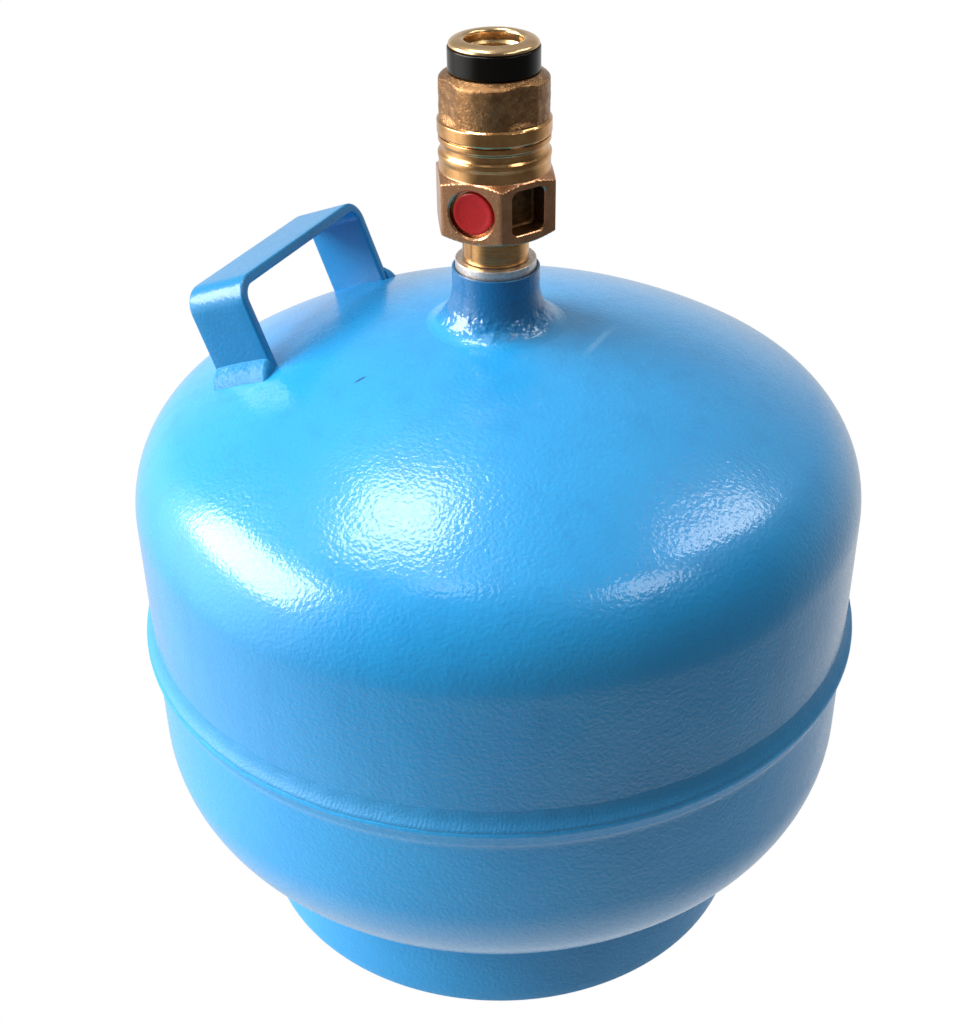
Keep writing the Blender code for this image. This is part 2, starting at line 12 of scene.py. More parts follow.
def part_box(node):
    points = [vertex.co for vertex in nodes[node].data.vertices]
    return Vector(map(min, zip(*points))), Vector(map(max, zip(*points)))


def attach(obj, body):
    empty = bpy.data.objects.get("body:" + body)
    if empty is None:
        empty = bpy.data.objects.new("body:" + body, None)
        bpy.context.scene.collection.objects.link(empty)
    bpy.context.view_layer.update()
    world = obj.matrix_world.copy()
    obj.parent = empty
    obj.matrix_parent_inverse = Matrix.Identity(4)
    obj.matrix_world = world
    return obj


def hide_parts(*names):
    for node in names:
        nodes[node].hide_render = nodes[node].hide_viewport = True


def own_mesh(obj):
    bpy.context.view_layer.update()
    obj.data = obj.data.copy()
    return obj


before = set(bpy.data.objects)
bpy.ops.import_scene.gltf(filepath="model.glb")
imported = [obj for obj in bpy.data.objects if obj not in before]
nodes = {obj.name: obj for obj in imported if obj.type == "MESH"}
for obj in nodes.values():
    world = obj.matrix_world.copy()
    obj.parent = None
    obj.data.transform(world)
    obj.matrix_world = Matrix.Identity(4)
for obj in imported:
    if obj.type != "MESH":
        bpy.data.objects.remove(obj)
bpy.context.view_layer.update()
scene = bpy.context.scene
MM = 0.001


# ---------------------------------------------------------------- outlines

def arc(centre, radius, start, end, count):
    """Points on an arc; the angles are in degrees from the outward direction."""
    angles = [math.radians(start + (end - start) * i / count) for i in range(count + 1)]
    return [(centre[0] + radius * math.cos(a), centre[1] + radius * math.sin(a)) for a in angles]


def soften(points, cuts, count=5, closed=True):
    """Rounds each corner of an outline; a cut is how far along its edges the rounding starts."""
    result = []
    total = len(points)
    for index, point in enumerate(points):
        cut = cuts[index] if isinstance(cuts, (list, tuple)) else cuts
        ends = index in (0, total - 1) and not closed
        if cut <= 0 or ends:
            result.append(point)
            continue
        here = np.array(point, float)
        before = np.array(points[index - 1], float) - here
        after = np.array(points[(index + 1) % total], float) - here
        cut = min(cut, 0.45 * np.linalg.norm(before), 0.45 * np.linalg.norm(after))
        first = here + before / np.linalg.norm(before) * cut
        last = here + after / np.linalg.norm(after) * cut
        for step in range(count + 1):
            t = step / count
            result.append(tuple((1 - t) ** 2 * first + 2 * t * (1 - t) * here + t * t * last))
    return result


def divided(points, spacing, closed=True):
    """The outline with extra points, so that no edge is longer than the spacing."""
    result = []
    following = points[1:] + (points[:1] if closed else [])
    for start, end in zip(points, following):
        length = math.dist(start, end)
        count = max(1, math.ceil(length / spacing))
        for step in range(count):
            t = step / count
            result.append((start[0] + (end[0] - start[0]) * t, start[1] + (end[1] - start[1]) * t))
    if not closed:
        result.append(points[-1])
    return result


# ---------------------------------------------------------------- meshes

def new_piece(name, vertices, faces, smooth_angle=35.0):
    mesh = bpy.data.meshes.new(name)
    mesh.from_pydata([tuple(v) for v in vertices], [], faces)
    shape = bmesh.new()
    shape.from_mesh(mesh)
    bmesh.ops.remove_doubles(shape, verts=shape.verts, dist=1e-6)
    bmesh.ops.recalc_face_normals(shape, faces=shape.faces)
    shape.to_mesh(mesh)
    shape.free()
    mesh.shade_smooth()
    mesh.set_sharp_from_angle(angle=math.radians(smooth_angle))
    obj = bpy.data.objects.new(name, mesh)
    scene.collection.objects.link(obj)
    return obj


def tube_faces(rings, count):
    """Faces of a tube made of rings of this many points each, with both its ends closed."""
    faces = []
    for i in range(rings - 1):
        a, b = i * count, (i + 1) * count
        for j in range(count):
            k = (j + 1) % count
            faces.append((a + j, a + k, b + k, b + j))
    faces.append(tuple(range(count)))
    faces.append(tuple((rings - 1) * count + j for j in range(count)))
    return faces


def on_axis_grid(angle, radius, height):
    """The points of a turned surface, from its angles, radii and heights."""
    return np.stack((radius * np.cos(angle), radius * np.sin(angle), height), axis=2)


def lathe(name, outline, steps=192, reshape=None, smooth_angle=35.0):
    """Turns a closed outline of (radius, height) in mm. reshape(angle, radius, height) gives new radii."""
    radius = np.array([p[0] for p in outline])[None, :]
    height = np.array([p[1] for p in outline])[None, :]
    angle = (np.arange(steps) * 2 * math.pi / steps)[:, None]
    radius = np.repeat(radius, steps, axis=0)
    height = np.repeat(height, steps, axis=0)
    angle = np.repeat(angle, len(outline), axis=1)
    if reshape is not None:
        radius, height = reshape(angle, radius, height)
    radius = np.maximum(radius, 0.0)
    points = on_axis_grid(angle, radius, height) * MM
    count = len(outline)
    faces = []
    for i in range(steps):
        a, b = i * count, ((i + 1) % steps) * count
        for j in range(count):
            k = (j + 1) % count
            faces.append((a + j, b + j, b + k, a + k))
    return new_piece(name, points.reshape(-1, 3), faces, smooth_angle)


def carve(piece, cutter):
    """Cuts one mesh out of another for good, and removes the cutter."""
    modifier = piece.modifiers.new("cut", "BOOLEAN")
    modifier.operation = "DIFFERENCE"
    modifier.solver = "EXACT"
    modifier.object = cutter
    graph = bpy.context.evaluated_depsgraph_get()
    mesh = bpy.data.meshes.new_from_object(piece.evaluated_get(graph))
    piece.modifiers.clear()
    old = piece.data
    piece.data = mesh
    bpy.data.meshes.remove(old)
    bpy.data.objects.remove(cutter, do_unlink=True)


def assign(piece, materials, rule=None):
    """Gives a piece its materials; rule(face centre in mm) picks one by its number."""
    piece.data.materials.clear()
    for material in materials:
        piece.data.materials.append(material)
    for face in piece.data.polygons:
        face.material_index = rule(face.center / MM) if rule else 0


def place(piece, body, slot, *replaced):
    """Ties a piece to its body, in place of these CAD nodes, which it hides; slot, the piece's CAD material,
    is not used.
    """
    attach(piece, body)
    if replaced:
        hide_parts(*replaced)
    return piece


def from_axis(centre):
    return math.hypot(centre.x, centre.y)


def smooth_min(a, b, softness):
    """The smaller of two values, with the change between them rounded."""
    low = np.minimum(a, b)
    return low - softness * np.log(np.exp((low - a) / softness) + np.exp((low - b) / softness))


def smooth_max(a, b, softness):
    """The larger of two values, with the change between them rounded."""
    return -smooth_min(-a, -b, softness)


def polygon(angle, sides, across_flats, first_normal):
    """Radius of a regular polygon; first_normal is the direction of one face, in degrees."""
    part = 2 * math.pi / sides
    turned = (angle - math.radians(first_normal) + part / 2) % part - part / 2
    return across_flats / 2 / np.cos(turned)


def lumps(points, size, seed):
    """Smooth noise from -1 to 1 at each point, for bumps of about this size."""
    flat = points.reshape(-1, 3) / size
    values = [noise.noise(Vector(p) + Vector((seed, 0.0, 0.0))) for p in flat]
    return np.array(values).reshape(points.shape[:-1])


# ---------------------------------------------------------------- materials

def add(tree, kind, settings=None, **sockets):
    """Adds a shader node. A socket is named, or numbered as i0, i1 where names repeat."""
    node = tree.nodes.new("ShaderNode" + kind)
    for key, value in (settings or {}).items():
        setattr(node, key, value)
    for key, value in sockets.items():
        numbered = key[0] == "i" and key[1:].isdigit()
        socket = node.inputs[int(key[1:]) if numbered else key.replace("_", " ")]
        if isinstance(value, bpy.types.NodeSocket):
            tree.links.new(value, socket)
        else:
            socket.default_value = value
    return node


def new_material(name, **sockets):
    material = bpy.data.materials.new(name)
    material.use_nodes = True
    tree = material.node_tree
    shader = tree.nodes["Principled BSDF"]
    for key, value in sockets.items():
        shader.inputs[key.replace("_", " ")].default_value = value
    position = add(tree, "TexCoord").outputs["Object"]
    return material, tree, shader, position


def noise_value(tree, position, size, detail=2.0, roughness=0.5):
    """Noise whose features are about this size in mm."""
    return add(tree, "TexNoise", Vector=position, Scale=1.0 / MM / size, Detail=detail,
               Roughness=roughness).outputs["Fac"]


def remap(tree, value, low, high, to_low, to_high):
    node = add(tree, "MapRange", {"clamp": True})
    tree.links.new(value, node.inputs["Value"])
    for key, number in zip(("From Min", "From Max", "To Min", "To Max"), (low, high, to_low, to_high)):
        node.inputs[key].default_value = number
    return node.outputs["Result"]


def mix_colour(tree, factor, first, second):
    node = add(tree, "Mix", {"data_type": "RGBA"})
    for socket, value in ((node.inputs[0], factor), (node.inputs[6], first), (node.inputs[7], second)):
        if isinstance(value, bpy.types.NodeSocket):
            tree.links.new(value, socket)
        else:
            socket.default_value = value if isinstance(value, float) else (*value, 1.0)
    return node.outputs[2]


def vector_math(tree, operation, output, *vectors):
    inputs = {f"i{index}": vector for index, vector in enumerate(vectors)}
    return add(tree, "VectorMath", {"operation": operation}, **inputs).outputs[output]


def combine(tree, operation, *values):
    inputs = {f"i{index}": value for index, value in enumerate(values)}
    return add(tree, "Math", {"operation": operation}, **inputs).outputs[0]


def bump(tree, height, distance, below=None):
    """Bump from a 0 to 1 height; distance is the full height in mm."""
    node = add(tree, "Bump", Strength=1.0, Distance=distance * MM, Height=height)
    if below is not None:
        tree.links.new(below, node.inputs["Normal"])
    return node.outputs["Normal"]


CROWN_EDGE = (0.165, 0.170)   # heights in metres between which the crown's marks fade in
MARK_CORE = 0.35              # share of a mark that is full strength, before its edge fades


def mark(tree, position, centre, along, half_length, half_width):
    """1 inside a short straight mark on the crown and 0 outside; the centre is in mm, seen from above."""
    across = (-along[1], along[0], 0.0)
    start = vector_math(tree, "SUBTRACT", "Vector", position, tuple(c * MM for c in centre))
    inside = []
    for axis, half in (((*along, 0.0), half_length), (across, half_width)):
        offset = combine(tree, "ABSOLUTE", vector_math(tree, "DOT_PRODUCT", "Value", start, axis))
        inside.append(remap(tree, offset, MARK_CORE * half * MM, half * MM, 1.0, 0.0))
    above = vector_math(tree, "DOT_PRODUCT", "Value", position, (0.0, 0.0, 1.0))
    on_crown = remap(tree, above, *CROWN_EDGE, 0.0, 1.0)
    return combine(tree, "MULTIPLY", combine(tree, "MULTIPLY", *inside), on_crown)


# One dark scratch and one pale rub on the crown: middle, direction, half length, half width, colour
MARKS = [((-23.0, -39.5, 0.0), (0.555, 0.832), 2.3, 0.45, (0.004, 0.030, 0.090)),
         ((30.5, 2.5, 0.0), (0.035, 0.999), 12.0, 1.2, (0.10, 0.42, 0.80))]

ENAMEL = {"deep": (0.018, 0.318, 0.700), "light": (0.024, 0.362, 0.760), "shade": (0.013, 0.270, 0.630)}
# Blue of the painted reflections: darker vertical streaks that stand for dark things mirrored in the walls
REFLECTED_STREAK_BLUE = (0.010, 0.200, 0.520)
NECK_SHADE_BLUE = (0.008, 0.145, 0.350)
NECK_SHADE_EDGE = (0.0135, 0.0180)   # radii in metres between which the painted shade round the valve socket fades out
CLOUD_SIZE, SPECKLE_SIZE, REFLECTED_STREAK_SIZE, BROAD_SIZE = 60.0, 1.6, 7.0, 16.0
BROAD_HEIGHT = 0.16


def paint(name, peel=0.105, peel_size=1.15, painted_light_tone=1.0, gloss=0.6, rough=0.3, level=0.5, marks=False,
          neck_shade=False):
    """Gloss enamel over steel: clouded colour, orange peel and broad unevenness. The tone paints light or
    shade into a copy's colour when it is not 1; with marks come a real scratch and rub and painted
    reflections of dark streaks; one option paints shade round the valve socket.
    """
    material, tree, shader, position = new_material(
        name, Coat_Weight=gloss, Coat_Roughness=0.065, Coat_IOR=1.5, Specular_IOR_Level=level)
    clouds = noise_value(tree, position, CLOUD_SIZE, 3.0)
    speckle = noise_value(tree, position, SPECKLE_SIZE, 2.0, 0.6)
    # The tone scales all three colours: above 1 it paints light, below 1 it paints shade into this copy of
    # the enamel.
    deep, light, shade = ([painted_light_tone * c for c in ENAMEL[key]] for key in ("deep", "light", "shade"))
    colour = mix_colour(tree, remap(tree, clouds, 0.35, 0.65, 0.0, 1.0), deep, light)
    colour = mix_colour(tree, remap(tree, speckle, 0.3, 0.7, 0.0, 0.35), colour, shade)
    roughness = remap(tree, speckle, 0.3, 0.7, rough - 0.04, rough + 0.06)
    if marks:
        # Painted reflection: faint darker vertical streaks in the walls' colour, standing for dark things
        # mirrored there; the marks below are a real scratch and rub.
        streak_position = add(tree, "Mapping", Vector=position, Scale=(1.0, 1.0, 0.12)).outputs[0]
        reflected_streaks = remap(tree, noise_value(tree, streak_position, REFLECTED_STREAK_SIZE), 0.50, 0.72, 0.0, 0.18)
        colour = mix_colour(tree, reflected_streaks, colour, REFLECTED_STREAK_BLUE)
        for *place_and_size, tint in MARKS:
            colour = mix_colour(tree, mark(tree, position, *place_and_size), colour, tint)
    # Painted shade: a darker blue round the valve socket, full within 13.5 mm of the axis and fading out by
    # 18 mm.
    if neck_shade:
        flat = vector_math(tree, "MULTIPLY", "Vector", position, (1.0, 1.0, 0.0))
        radius = vector_math(tree, "LENGTH", "Value", flat)
        colour = mix_colour(tree, remap(tree, radius, *NECK_SHADE_EDGE, 1.0, 0.0), colour, NECK_SHADE_BLUE)
    tree.links.new(colour, shader.inputs["Base Color"])
    tree.links.new(roughness, shader.inputs["Roughness"])
    broad = bump(tree, noise_value(tree, position, BROAD_SIZE, 1.0), BROAD_HEIGHT)
    fine = bump(tree, noise_value(tree, position, peel_size, 1.0), peel, below=broad)
    tree.links.new(fine, shader.inputs["Normal"])
    tree.links.new(fine, shader.inputs["Coat Normal"])
    return material


def metal(name, light, dark, rough, patch=3.0, grain=0.0, grain_size=0.8, lines=0.0, line_pitch=0.25,
          scratches=0.0):
    """Bare metal: two tones in patches, with a cast grain, turning lines or scratches as bump."""
    material, tree, shader, position = new_material(name, Metallic=1.0)
    patches = noise_value(tree, position, patch, 4.0, 0.6)
    colour = mix_colour(tree, remap(tree, patches, 0.35, 0.65, 0.0, 1.0), light, dark)
    tree.links.new(colour, shader.inputs["Base Color"])
    tree.links.new(remap(tree, patches, 0.3, 0.7, *rough), shader.inputs["Roughness"])
    normal = None
    if grain:
        grains = noise_value(tree, position, grain_size, 3.0, 0.65)
        normal = bump(tree, grains, grain)
    if lines:
        stretched = add(tree, "Mapping", Vector=position, Scale=(0.02, 0.02, 1.0)).outputs[0]
        turning = noise_value(tree, stretched, line_pitch, 2.0, 0.6)
        normal = bump(tree, turning, lines, below=normal)
    if scratches:
        slanted = add(tree, "Mapping", Vector=position, Rotation=(0.5, 0.9, 0.4),
                      Scale=(1.0, 0.06, 1.0)).outputs[0]
        marks = remap(tree, noise_value(tree, slanted, 0.5, 1.0), 0.66, 0.72, 0.0, 1.0)
        normal = bump(tree, marks, -scratches, below=normal)
    if normal is not None:
        tree.links.new(normal, shader.inputs["Normal"])
    return material


def plastic(name, colour, rough, coat=0.0, texture=0.004, size=0.6, level=0.5):
    """Plastic or rubber: a mottled colour under a fine grain."""
    material, tree, shader, position = new_material(
        name, Coat_Weight=coat, Coat_Roughness=0.06, Specular_IOR_Level=level)
    value = noise_value(tree, position, size, 3.0)
    darker = tuple(c * 0.7 for c in colour)
    mottled = mix_colour(tree, remap(tree, value, 0.3, 0.7, 0.0, 1.0), colour, darker)
    tree.links.new(mottled, shader.inputs["Base Color"])
    tree.links.new(remap(tree, value, 0.3, 0.7, rough - 0.04, rough + 0.06), shader.inputs["Roughness"])
    tree.links.new(bump(tree, value, texture), shader.inputs["Normal"])
    return material


# The main enamel, with painted reflections of dark streaks on its walls and a real scratch and rub on the
# crown.
blue = paint("blue_enamel", marks=True)
# Painted shade: the seam's copy of the enamel is darker.
blue_seam_shaded = paint("blue_enamel_on_seam_painted_darker", peel=0.11, peel_size=0.8, painted_light_tone=0.84, gloss=0.0, rough=0.55,
                  level=0.9)
# Painted light: below the seam and on the lip the enamel is lighter, as light on the lower half and on the
# lip's upward slope.
blue_under_lit = paint("blue_enamel_below_seam_painted_lighter", painted_light_tone=1.15, gloss=0.35, level=0.4)
blue_lip_lit = paint("blue_enamel_on_lip_painted_lighter", painted_light_tone=1.2, gloss=0.1, rough=0.45, level=0.35)
# A copy of the enamel with painted shade round the valve socket, for the socket and its weld.
blue_weld_neck_shaded = paint("blue_enamel_on_weld_with_painted_shade", peel=0.10, peel_size=1.0, neck_shade=True)
# Painted shade: the strap and its welds take darker copies of the enamel.
blue_strap_shaded = paint("blue_enamel_on_strap_painted_darker", peel=0.08, painted_light_tone=0.62, gloss=0.35, level=0.3)
strap_weld_blue_shaded = paint("blue_enamel_on_strap_weld_painted_darker", peel=0.20, peel_size=1.0, painted_light_tone=0.66, gloss=0.1,
                        rough=0.4, level=0.15)
# Painted light: the foot's copy of the enamel is lighter.
blue_foot_lit = paint("blue_enamel_on_foot_painted_lighter", painted_light_tone=1.15, gloss=0.05, level=0.3)
forged = metal("forged_brass", (0.47, 0.25, 0.105), (0.24, 0.12, 0.05), (0.22, 0.36), patch=2.4,
               grain=0.24, grain_size=0.55)
turned_brass = metal("turned_brass", (0.84, 0.48, 0.20), (0.60, 0.31, 0.12), (0.11, 0.20), patch=5.0,
                     lines=0.03, line_pitch=0.22)
satin_brass = metal("satin_brass", (0.76, 0.41, 0.22), (0.58, 0.28, 0.135), (0.18, 0.30), patch=4.0,
                    grain=0.03, grain_size=0.5, scratches=0.02)
polished = metal("polished_brass", (0.88, 0.62, 0.34), (0.76, 0.50, 0.25), (0.18, 0.28),
                 grain=0.02, grain_size=1.2, lines=0.008, line_pitch=0.2, scratches=0.012)
bore_brass = metal("outlet_bore_brass", (0.90, 0.62, 0.32), (0.72, 0.46, 0.20), (0.22, 0.36),
                   grain=0.02, lines=0.03, line_pitch=0.3)
# Painted shade: the brass inside the bores is darker than the turned brass, as shade inside a hole; it is
# rougher too.
dull_shaded_bore_brass = metal("bore_brass", (0.40, 0.22, 0.09), (0.26, 0.13, 0.05), (0.34, 0.50),
                   grain=0.02, grain_size=0.6, lines=0.03, line_pitch=0.3)
# Painted shade: the brass inside the hexagon's pockets is much darker than the rest of the body, as shade in
# a recess.
shaded_pocket_brass = metal("shaded_pocket_brass", (0.26, 0.13, 0.05), (0.12, 0.06, 0.025), (0.40, 0.58), patch=2.0,
                     grain=0.06)
washer_metal = metal("washer_aluminium", (0.94, 0.86, 0.78), (0.64, 0.57, 0.51), (0.34, 0.52), patch=1.2,
                     grain=0.03, grain_size=0.5, lines=0.04, line_pitch=0.3, scratches=0.03)
steel = metal("bright_spring_steel", (0.62, 0.62, 0.63), (0.50, 0.50, 0.51), (0.22, 0.34), patch=2.0,
              lines=0.01, line_pitch=0.3)
black = plastic("gloss_black", (0.0045, 0.0035, 0.0025), 0.16, level=0.28)
red = plastic("red_cap", (0.43, 0.011, 0.011), 0.32, coat=0.05, texture=0.010, size=0.8, level=0.35)
rubber = plastic("matt_rubber", (0.020, 0.020, 0.021), 0.68, texture=0.02, size=0.5)

# ---------------------------------------------------------------- vessel

SHELL_RADIUS = 108.0
WALL = 2.2
UPPER = {"crown": 179.2, "knuckle": 30.8, "tangent": 142.2, "side": 1}
LOWER = {"crown": 241.7, "knuckle": 37.4, "tangent": 66.8, "side": -1}
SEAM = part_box("upper_shell")[0].z / MM
LIP_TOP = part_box("lower_shell")[1].z / MM
LIP_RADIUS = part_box("lower_shell")[1].x / MM
WELD_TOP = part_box("seam_weld")[1].z / MM


def dish_join(end):
    """(radius, height above the crown's centre, angle) where the knuckle's centre lies."""
    knuckle_r = SHELL_RADIUS - end["knuckle"]
    rise = math.sqrt((end["crown"] - end["knuckle"]) ** 2 - knuckle_r**2)
    return knuckle_r, rise, math.degrees(math.atan2(rise, knuckle_r))


def dish(end, inset, from_radius, count):
    """Outline of a dished end from this radius out to the wall, this far inside its outer face."""
    knuckle_r, rise, join = dish_join(end)
    radius = end["crown"] - inset
    start = math.degrees(math.acos(from_radius / radius))
    points = arc((0.0, 0.0), radius, start, join, count)
    points += arc((knuckle_r, rise), end["knuckle"] - inset, join, 0.0, count // 2)[1:]
    base = end["tangent"] - end["side"] * rise
    return [(max(r, 0.0), base + end["side"] * h) for r, h in points]


def dish_height(end, radius):
    """Height of a dished end's outer face at this radius."""
    knuckle_r, rise, _ = dish_join(end)
    if radius < knuckle_r * end["crown"] / (end["crown"] - end["knuckle"]):
        return end["tangent"] + end["side"] * (math.sqrt(end["crown"] ** 2 - radius**2) - rise)
    return end["tangent"] + end["side"] * math.sqrt(end["knuckle"] ** 2 - (radius - knuckle_r) ** 2)


def pressed(angle, radius, height):
    """The slight unevenness of deep-drawn sheet, up to about 0.1 mm, always inwards."""
    swing = np.sin(2 * angle + 0.7) * 0.4 + np.sin(5 * angle + height / 23.0) * 0.3
    swing += np.sin(9 * angle - height / 17.0) * 0.2
    return radius - 0.05 * (1.0 + swing) * np.clip(radius / SHELL_RADIUS, 0, 1), height


VESSEL_STEPS = 256
CROWN_HOLE = 11.0
inner = SHELL_RADIUS - WALL
top_outline = dish(UPPER, 0.0, CROWN_HOLE, 56)
top_outline += divided([(SHELL_RADIUS, UPPER["tangent"] - 1.5), (SHELL_RADIUS, SEAM)], 2.0, closed=False)
top_outline += [(inner, SEAM)] + dish(UPPER, WALL, CROWN_HOLE, 12)[::-1]
vessel_top = lathe("vessel_top", top_outline, VESSEL_STEPS, pressed)
assign(vessel_top, [blue])
place(vessel_top, "cylinder", "blue_paint", "upper_shell")

SOCKET_RADIUS = SHELL_RADIUS + 0.1   # the lip's inside, which takes the upper half's edge
LIP_START = SEAM - 9.0
lip = soften([(SHELL_RADIUS, LIP_START), (SHELL_RADIUS, SEAM - 3.4), (LIP_RADIUS, SEAM + 0.8),
              (LIP_RADIUS, LIP_TOP - 1.4), (109.4, LIP_TOP), (SOCKET_RADIUS, LIP_TOP)],
             [0.0, 2.4, 1.6, 0.3, 0.5, 0.0], 8, closed=False)
bottom_outline = dish(LOWER, 0.0, 0.0, 36)
bottom_outline += divided([(SHELL_RADIUS, LOWER["tangent"] + 1.5), (SHELL_RADIUS, LIP_START)], 2.0,
                          closed=False)[:-1]
bottom_outline += lip + [(SOCKET_RADIUS, SEAM - 0.4), (inner, SEAM - 0.4)] + dish(LOWER, WALL, 0.0, 10)[::-1]
vessel_bottom = lathe("vessel_bottom", bottom_outline, VESSEL_STEPS)
# The lower half and its lip take copies of the enamel painted lighter, as light.
assign(vessel_bottom, [blue_under_lit, blue_lip_lit], lambda centre: int(from_axis(centre) > SHELL_RADIUS + 0.3))
place(vessel_bottom, "cylinder", "blue_paint", "lower_shell")

WELD_RIPPLES = 560


def rippled(angle, radius, height):
    """Overlapping weld ripples, curved across the bead and uneven along it."""
    across = (height - LIP_TOP) / (WELD_TOP - LIP_TOP)
    phase = angle * WELD_RIPPLES + 2.2 * (across - 0.5) ** 2 * 4
    phase += 1.3 * np.sin(angle * 37) + 0.8 * np.sin(angle * 83 + 1.0)
    size = 0.045 + 0.02 * np.sin(angle * 61 + 2.0)
    ripple = size * (np.abs(np.sin(phase / 2)) - 0.6) * np.clip(1.2 - across, 0.2, 1.0)
    wander = 0.10 * np.sin(angle * 23) + 0.08 * np.sin(angle * 71 + 0.5)
    moved = radius + np.where(radius > SHELL_RADIUS + 0.1, ripple + wander * 0.3 - 0.05, 0.0)
    return moved, height + np.where(across > 0.6, wander, 0.0)


weld = soften([(110.24, LIP_TOP - 1.6), (110.20, LIP_TOP - 0.5), (109.45, LIP_TOP + 0.6),
               (108.85, LIP_TOP + 1.7), (108.42, LIP_TOP + 3.0), (108.14, LIP_TOP + 4.3),
               (107.98, WELD_TOP + 0.3)], [0.0, 0.5, 0.8, 0.8, 0.8, 0.8, 0.0], 4, closed=False)
WELD_ROOT = SHELL_RADIUS - 0.7
weld += [(WELD_ROOT, WELD_TOP + 0.3), (WELD_ROOT, LIP_TOP - 1.6)]
waist = lathe("waist_weld", weld, 4 * WELD_RIPPLES, rippled, 60.0)
assign(waist, [blue_seam_shaded])
place(waist, "cylinder", "blue_paint", "seam_weld")

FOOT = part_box("foot_ring")[1].x / MM
FOOT_INSIDE = FOOT - 2.5
foot = soften([(FOOT, 32.5), (FOOT, 0.0), (FOOT_INSIDE, 0.0), (FOOT_INSIDE, 31.5)], [0.0, 0.7, 0.7, 0.0], 4)
foot_ring = lathe("foot_band", divided(foot, 3.0), VESSEL_STEPS)
assign(foot_ring, [blue_foot_lit])
place(foot_ring, "cylinder", "blue_paint", "foot_ring")


def foot_lumps(angle, radius, height):
    """Ripples along the foot's fillet, outside the foot itself."""
    wave = 0.14 * np.sin(angle * 190 + 1.5 * np.sin(angle * 17)) + 0.2 * np.sin(angle * 31)
    return radius + np.where(radius > FOOT + 0.2, wave, 0.0), height


reach = FOOT + 3.3
fillet = soften([(FOOT - 0.8, 27.2), (FOOT + 1.1, 28.2), (reach, dish_height(LOWER, reach) - 0.3),
                 (reach, dish_height(LOWER, reach) + 1.0), (FOOT - 0.8, 31.5)], [0.0, 1.2, 0.6, 0.0, 0.0], 4)
foot_bead = lathe("foot_bead", fillet, 1280, foot_lumps, 60.0)
assign(foot_bead, [blue_foot_lit])
place(foot_bead, "cylinder", "blue_paint", "foot_weld")

# ---------------------------------------------------------------- boss

BOSS_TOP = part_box("boss")[1].z / MM
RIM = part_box("boss")[1].x / MM
BURIED = 190.0      # height inside the vessel where the boss and its weld end
WASHER_SEAT = 210.0
WASHER_HOLE = 8.3
RECESS = 11.75
boss_outline = soften([(RECESS, BOSS_TOP), (RIM, BOSS_TOP), (RIM, BURIED), (WASHER_HOLE, BURIED),
                       (WASHER_HOLE, WASHER_SEAT), (RECESS, WASHER_SEAT)],
                      [0.25, 0.8, 0.0, 0.0, 0.0, 0.15], 6)
socket = lathe("valve_socket", divided(boss_outline, 1.2), 160)
# The socket takes the enamel with painted shade round it.
assign(socket, [blue_weld_neck_shaded])
place(socket, "cylinder", "blue_paint", "boss")

FLARE_TOE = 20.4
FLARE_DARK = 18.2   # the weld's enamel, painted darker as shade near the socket, ends here and the crown's begins
flare = [(RIM - 0.2, 207.6), (RIM + 0.02, 204.6), (RIM + 0.30, 202.4), (13.3, 200.2), (14.4, 197.9),
         (15.8, 196.0)]
flare += [(radius, dish_height(UPPER, radius) + above)
          for radius, above in ((17.3, 0.85), (18.9, 0.22), (FLARE_TOE, -0.06))]
flare += [(FLARE_TOE, BURIED), (RIM - 0.2, BURIED)]
flare = divided(soften(flare, [0.0, 1.0, 1.0, 1.2, 1.2, 1.2, 1.2, 1.2, 0.0, 0.0, 0.0], 5), 0.4)


def flare_lumps(angle, radius, height):
    """Weld lumps that fade out towards the socket's wall and towards the crown."""
    points = on_axis_grid(angle, radius, height)
    shown = np.clip((radius - RIM - 0.3) / 1.0, 0, 1) * np.clip((FLARE_DARK - 0.1 - radius) / 3.0, 0, 1)
    uneven = 0.24 * lumps(points, 3.4, 3.0) + 0.14 * lumps(points, 1.6, 9.0) + 0.11 * lumps(points, 0.9, 5.0)
    return radius + shown * uneven, height + shown * 0.7 * uneven


boss_flare = lathe("socket_weld", flare, 320, flare_lumps, 60.0)
assign(boss_flare, [blue_weld_neck_shaded, blue], lambda centre: int(from_axis(centre) > FLARE_DARK))
place(boss_flare, "cylinder", "blue_paint", "boss_weld")

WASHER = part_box("sealing_washer")
washer_low, washer_top, washer_r = WASHER[0].z / MM, WASHER[1].z / MM, WASHER[1].x / MM
washer_outline = soften([(washer_r, washer_top), (washer_r, washer_low), (WASHER_HOLE, washer_low),
                         (WASHER_HOLE, washer_top)], [0.35, 0.2, 0.0, 0.0], 4)
washer = lathe("crush_washer", divided(washer_outline, 0.8), 160)
assign(washer, [washer_metal])
place(washer, "cylinder", "aluminium", "sealing_washer")

# ---------------------------------------------------------------- handle

HANDLE_FROM_AXIS = 64.8
HANDLE_CENTRE_Y = 0.6
HANDLE_HALF = 35.2       # half the handle's length, to the strap's outer face
HANDLE_HEIGHT = 23.8
STRAP_WIDTH = 20.0
STRAP = 3.0              # thickness
BEND = 7.0
tilt = -math.asin(HANDLE_FROM_AXIS / UPPER["crown"])
HANDLE_FRAME = Matrix.Translation((-HANDLE_FROM_AXIS, HANDLE_CENTRE_Y, dish_height(UPPER, HANDLE_FROM_AXIS)))
HANDLE_FRAME = HANDLE_FRAME @ Matrix.Rotation(tilt, 4, "Y")


